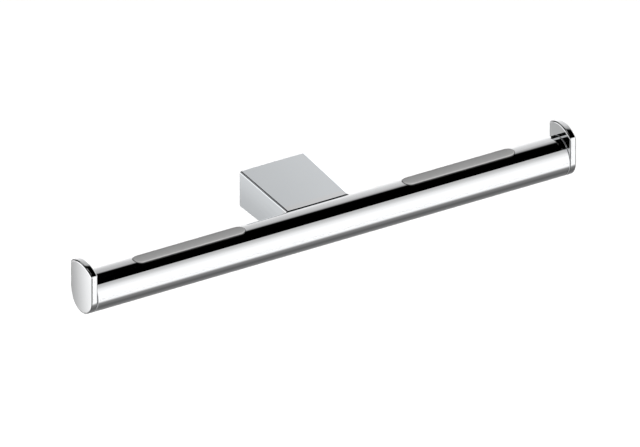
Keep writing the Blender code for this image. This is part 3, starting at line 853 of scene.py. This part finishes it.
def crown_block(shape):
    """Gives the block's four long faces a very slight dome from edge to edge."""
    for direction, size in zip((ALONG_X, ALONG_Z), BLOCK_WALL_SIZE):
        cuts = int(size / 2 / BLOCK_GRID)
        for cut in range(-cuts, cuts + 1):
            slice_faces(shape, shape.faces, direction, cut * BLOCK_GRID, MERGE_DISTANCE)
    for vert in shape.verts:
        width, height = block_size(-vert.co.y)
        across = vert.co.x / width * 2
        up = vert.co.z / height * 2
        if abs(across) > NEARLY_ONE:
            vert.co.x += math.copysign(BLOCK_SIDE_CROWN, across) * (1 - up ** 2)
        if abs(up) > NEARLY_ONE:
            vert.co.z += math.copysign(BLOCK_TOP_CROWN, up) * (1 - across ** 2)
    return shape


def round_block(shape):
    """Rounds the four long edges, and then the edges against the wall."""
    along = [edge for edge in sharp_edges(shape)
             if abs(edge.verts[0].co.y - edge.verts[1].co.y) > OVERRUN]
    round_off(shape, along, BLOCK_EDGE, BLOCK_EDGE_SEGMENTS)
    back = [edge for edge in sharp_edges(shape) if max(vert.co.y for vert in edge.verts) > -OVERRUN]
    round_off(shape, back, BLOCK_BACK_EDGE, BLOCK_BACK_SEGMENTS)
    return shape


def front_cut(way):
    """A slanting cut that takes off the block's front edge above or below the tube."""
    edge = block_size(AXIS_TO_WALL)[1] / 2 - way * BLOCK_DROP
    back = math.sqrt(TUBE_RADIUS ** 2 - edge ** 2) + FRONT_CUT_SETBACK
    cutter = bmesh.new()
    bmesh.ops.create_cube(cutter, size=1)
    bmesh.ops.scale(cutter, vec=FRONT_CUT_SIZE, verts=cutter.verts)
    moved(cutter, (0, -FRONT_CUT_SIZE[Y] / 2, FRONT_CUT_SIZE[Z] / 2))
    moved(cutter, (0, back, edge + FRONT_CUT_LIFT), Matrix.Rotation(FRONT_CUT_LEAN, 4, "X"))
    if way < 0:
        mirrored(cutter, (1, 1, -1))
    return moved(cutter, BAR_CENTRE)


def grub_hole():
    underside = -block_size(GRUB_FROM_WALL)[1] / 2
    hole = rod(GRUB_RADIUS + CLEARANCE, underside - OVERRUN, underside + BLOCK_SHELL + OVERRUN,
               FASTENER_STEPS)
    return moved(hole, (0, -GRUB_FROM_WALL, 0))


def make_block():
    shape = round_block(crown_block(tapered_box(0, AXIS_TO_WALL, 0)))
    moved(shape, (BLOCK_SIDEWAYS, 0, -BLOCK_DROP))
    saddle = rod(TUBE_RADIUS + SADDLE_GAP, -SADDLE_HALF_LENGTH, SADDLE_HALF_LENGTH, ROUND_STEPS)
    shape = carve(shape, moved(saddle, BAR_CENTRE, TO_X))
    for way in UP_AND_DOWN:
        shape = carve(shape, front_cut(way))
    hollow = tapered_box(-OVERRUN, CAVITY_DEPTH, BLOCK_SHELL)
    shape = carve(shape, round_off(hollow, hollow.edges[:], CAVITY_CORNER, CAVITY_SEGMENTS))
    for side, sign in SIDES:
        shape = carve(shape, screw_hole(sign, TUBE_RADIUS, AXIS_TO_WALL - CAVITY_DEPTH + OVERRUN))
    shape = carve(shape, grub_hole())
    piece = finish_piece(shape, "chromed_block", "mounting_block", "polished_chrome", FACET_ANGLE)
    even_shading(piece)


# Hidden pieces

def dress_solids():
    """The hidden pieces keep their solids; these, like all solids, get the record's finishes."""
    for row in frame["record"]["subparts"]:
        mesh = frame["nodes"][row["node"]].data
        mesh.materials.clear()
        mesh.materials.append(FINISHES[row["material_slot"]])


# Stage

def pale_floor():
    """A pale floor, lifted to full white where it is seen directly or in a mirror."""
    material = bpy.data.materials.new("pale_floor")
    shading = Shading(material)
    cloud = shading.noise(shading.place(), 3, 3.0)
    pale = shading.blend(cloud, (0.90, 0.90, 0.90), (0.91, 0.91, 0.91))
    surface = shading.add("ShaderNodeBsdfDiffuse", {}, {"Color": pale})
    rays = shading.add("ShaderNodeLightPath")
    seen = rays.output("Is Camera Ray") + rays.output("Is Glossy Ray")
    seen = (seen + rays.output("Is Transmission Ray")).lowest(1.0)
    lift = shading.add("ShaderNodeEmission", {}, {"Color": seen * FLOOR_LIFT, "Strength": 1.0})
    both = shading.add("ShaderNodeAddShader", {}, {0: surface, 1: lift})
    shading.add("ShaderNodeOutputMaterial", {}, {"Surface": both})
    return material


def make_floor():
    shape = bmesh.new()
    bmesh.ops.create_grid(shape, x_segments=1, y_segments=1, size=FLOOR_SIZE / 2)
    floor = new_object("floor", moved(shape, (0, 0, FLOOR_LEVEL)))
    floor.data.materials.append(pale_floor())


def glowing(name, level_at):
    """A material that only glows, at the level that level_at gives for each place."""
    material = bpy.data.materials.new(name)
    shading = Shading(material)
    level = level_at(shading, shading.parts(shading.place()))
    glow = shading.add("ShaderNodeEmission", {}, {"Color": level, "Strength": 1.0})
    shading.add("ShaderNodeOutputMaterial", {}, {"Surface": glow})
    return material


def stage_card(name, corners, material):
    """A card outside the picture that only mirrors see."""
    shape = bmesh.new()
    shape.faces.new([shape.verts.new(corner) for corner in corners])
    card = new_object(name, shape)
    card.data.materials.append(material)
    card.visible_camera = False
    card.visible_diffuse = False
    card.visible_transmission = False
    card.visible_volume_scatter = False
    card.visible_shadow = False


def rectangle(low, high):
    return [low, (high[0], low[1]), high, (low[0], high[1])]


def lying_card(name, corners, level, material):
    stage_card(name, [(x, y, level) for x, y in corners], material)


def standing_card(name, corners, distance, material):
    stage_card(name, [(x, distance, z) for x, z in corners], material)


def under_card_level(shading, spot):
    """Dark grey below the tube, lighter to the front and back, and white far to the left."""
    x = spot.output("X")
    y = spot.output("Y")
    grey = shading.ramp(y, UNDER_CARD_LIGHT)
    left = shading.ramp(x, UNDER_CARD_LEFT_LIGHT)
    level = grey + x.before(*FAR_LEFT_X) * y.after(*FAR_LEFT_Y) * (left - grey)
    near = x.before(*NEAR_SHADE_X) * y.before(*NEAR_SHADE_Y)
    right = x.after(*RIGHT_SHADE_X) * y.before(*RIGHT_SHADE_Y)
    back = x.between(*BACK_SHADE_X) * y.after(*BACK_SHADE_Y)
    return level * (1.0 - near * NEAR_SHADE) * (1.0 - right * RIGHT_SHADE) * (1.0 - back)


def side_card_level(shading, spot):
    return (SIDE_CARD_LIGHT, SIDE_CARD_LIGHT, SIDE_CARD_LIGHT, 1.0)


def overhead_card_level(shading, spot):
    """Black, grey beyond a slanting edge, with a grey patch to the left and one near the middle."""
    x = spot.output("X")
    y = spot.output("Y")
    beyond = (x - OVERHEAD_EDGE[X]) * OVERHEAD_SLOPE + (y - OVERHEAD_EDGE[Y])
    grey = shading.ramp(beyond / math.hypot(1, OVERHEAD_SLOPE), OVERHEAD_LIGHT)
    left = x.before(*LEFT_PATCH_X) * y.after(*LEFT_PATCH_Y)
    back = x.after(*ABOVE_PATCH_BACK[X]) * y.after(*ABOVE_PATCH_BACK[Y])
    front = x.after(*ABOVE_PATCH_FRONT[X]) * y.after(*ABOVE_PATCH_FRONT[Y])
    above = back.highest(front) * x.before(*ABOVE_PATCH_END[X]) * y.before(*ABOVE_PATCH_END[Y])
    return grey.highest(left * LEFT_PATCH).highest(above * ABOVE_PATCH)


def drift(spot, distance):
    """How far to the side the mirrored view has gone where it meets a card behind the tube."""
    height = spot.output("Z")
    return (height * height + distance ** 2).root() * SIDEWAYS_SLOPE


def back_card_level(shading, spot):
    """The light strips behind the holder, dimmer to the left and brighter to the right."""
    height = spot.output("Z")
    distance = BACK_CARD_Y + AXIS_TO_WALL
    strips = shading.ramp(height.degrees_over(distance), LIGHT_STRIPS)
    along = (spot.output("X") - drift(spot, distance)) * height.after(*BACK_CARD_FADE)
    return strips * (along + 1.0)


def shade_card_dark():
    """A black band where the right plate mirrors the space behind; the rest is clear."""
    material = bpy.data.materials.new("shade_card_dark")
    shading = Shading(material)
    spot = shading.parts(shading.place())
    aside = spot.output("X") + drift(spot, SHADE_CARD_Y + AXIS_TO_WALL)
    band = aside.near(PLATE_INNER_FACE, *SHADE_BAND_REACH) * spot.output("Z").between(*SHADE_BAND_Z)
    clear = shading.add("ShaderNodeBsdfTransparent")
    black = shading.add("ShaderNodeEmission", {}, {"Strength": 0.0})
    mix = shading.add("ShaderNodeMixShader", {}, {0: band, 1: clear, 2: black})
    shading.add("ShaderNodeOutputMaterial", {}, {"Surface": mix})
    return material


def make_cards():
    lying_card("under_card", rectangle(*UNDER_CARD), LOW_LEVEL,
               glowing("under_card_light", under_card_level))
    lying_card("side_card", rectangle(*SIDE_CARD), LOW_LEVEL,
               glowing("side_card_light", side_card_level))
    lying_card("overhead_card", OVERHEAD_CARD, OVERHEAD_LEVEL,
               glowing("overhead_card_dark", overhead_card_level))
    standing_card("back_card", rectangle(*BACK_CARD), BACK_CARD_Y,
                  glowing("back_card_light", back_card_level))
    standing_card("shade_card", rectangle(*SHADE_CARD), SHADE_CARD_Y, shade_card_dark())


# Light

def mirrored_strips(shading, part, turn):
    """Strips of light along the tube, with one level far to the left and one to the right."""
    strips = shading.ramp(turn, LIGHT_STRIPS)
    level = strips + part.output("X").before(*LEFT_END_X) * (LEFT_END - strips)
    return level + part.output("X").after(*RIGHT_END_X) * (RIGHT_END - level)


def black_flags(part, turn):
    """A wide black flag with a slanting edge, one far to the left and a faint one behind."""
    x = part.output("X")
    slant = x + FLAG_START + turn * FLAG_SLANT
    wide = slant.after(*FLAG_EDGE) * x.before(*FLAG_X) * turn.between(*FLAG_TURN)
    far = x.before(*FAR_FLAG_X) * turn.between(*FAR_FLAG_TURN)
    faint = x.near(-VIEW_SIDEWAYS, *FAINT_FLAG_REACH) * turn.between(*FAINT_FLAG_TURN)
    return wide.highest(far).highest(faint * FAINT_FLAG)


def mirrored_light(shading, part):
    """What mirrors see: strips and flags, shaded in front except where the camera sees them."""
    turn = part.output("Z").degrees_over(part.output("Y"))
    level = mirrored_strips(shading, part, turn) * (1.0 - black_flags(part, turn))
    x = part.output("X")
    aside = 1.0 - (x * x).near(VIEW_SIDEWAYS ** 2, *FRONT_SHADE_REACH)
    return level * (1.0 - aside * part.output("Y").before(*FRONT_SHADE_Y) * FRONT_SHADE)


def studio_light():
    """White to the camera, an even soft light on dull surfaces, and strips in mirrors."""
    world = bpy.data.worlds.new("studio_light")
    bpy.context.scene.world = world
    shading = Shading(world)
    part = shading.parts(shading.add("ShaderNodeTexCoord", output="Generated"))
    soft = SOFT_LIGHT + part.output("Y") * SOFT_LIGHT_PER_Y + part.output("Z") * SOFT_LIGHT_PER_Z
    rays = shading.add("ShaderNodeLightPath")
    mirrors = (rays.output("Is Glossy Ray") + rays.output("Is Transmission Ray")).lowest(1.0)
    level = soft + mirrors * (mirrored_light(shading, part) - soft)
    level = level + rays.output("Is Camera Ray") * (1.0 - level)
    glow = shading.add("ShaderNodeBackground", {}, {"Color": level, "Strength": 1.0})
    shading.add("ShaderNodeOutputWorld", {}, {"Surface": glow})


def front_light():
    """A broad soft light from the front and above, which mirrors don't see."""
    light = bpy.data.lights.new("front_light", "SUN")
    light.energy = math.pi * FRONT_LIGHT
    light.angle = FRONT_LIGHT_SPREAD
    lamp = bpy.data.objects.new("front_light", light)
    lamp.location = FRONT_LIGHT_PLACE
    lamp.rotation_euler = (BAR_CENTRE - lamp.location).to_track_quat("-Z", "Z").to_euler()
    lamp.visible_glossy = False
    lamp.visible_camera = False
    bpy.context.scene.collection.objects.link(lamp)


# Camera

def make_camera():
    ahead = Vector((VIEW_SIDEWAYS,
                    math.cos(VIEW_AZIMUTH) * math.cos(VIEW_ELEVATION),
                    -math.sin(VIEW_ELEVATION)))
    right = Vector((math.cos(VIEW_AZIMUTH), -math.sin(VIEW_AZIMUTH), 0))
    up = right.cross(ahead)
    lens = bpy.data.cameras.new("camera")
    lens.type = "ORTHO"
    lens.ortho_scale = VIEW_WIDTH
    lens.clip_start, lens.clip_end = VIEW_DEPTH
    camera = bpy.data.objects.new("camera", lens)
    camera.location = BAR_CENTRE + right * AIM_RIGHT + up * AIM_UP - ahead * VIEW_DISTANCE
    camera.rotation_euler = ahead.to_track_quat("-Z", "Y").to_euler()
    bpy.context.scene.collection.objects.link(camera)
    bpy.context.scene.camera = camera


# The whole scene

def build():
    make_tube()
    make_block()
    for side, sign in SIDES:
        make_plate(side, sign)
        make_pad(side, sign)
    dress_solids()
    make_floor()
    make_cards()
    studio_light()
    front_light()
    make_camera()
    bpy.context.scene.view_settings.view_transform = "Standard"


build()
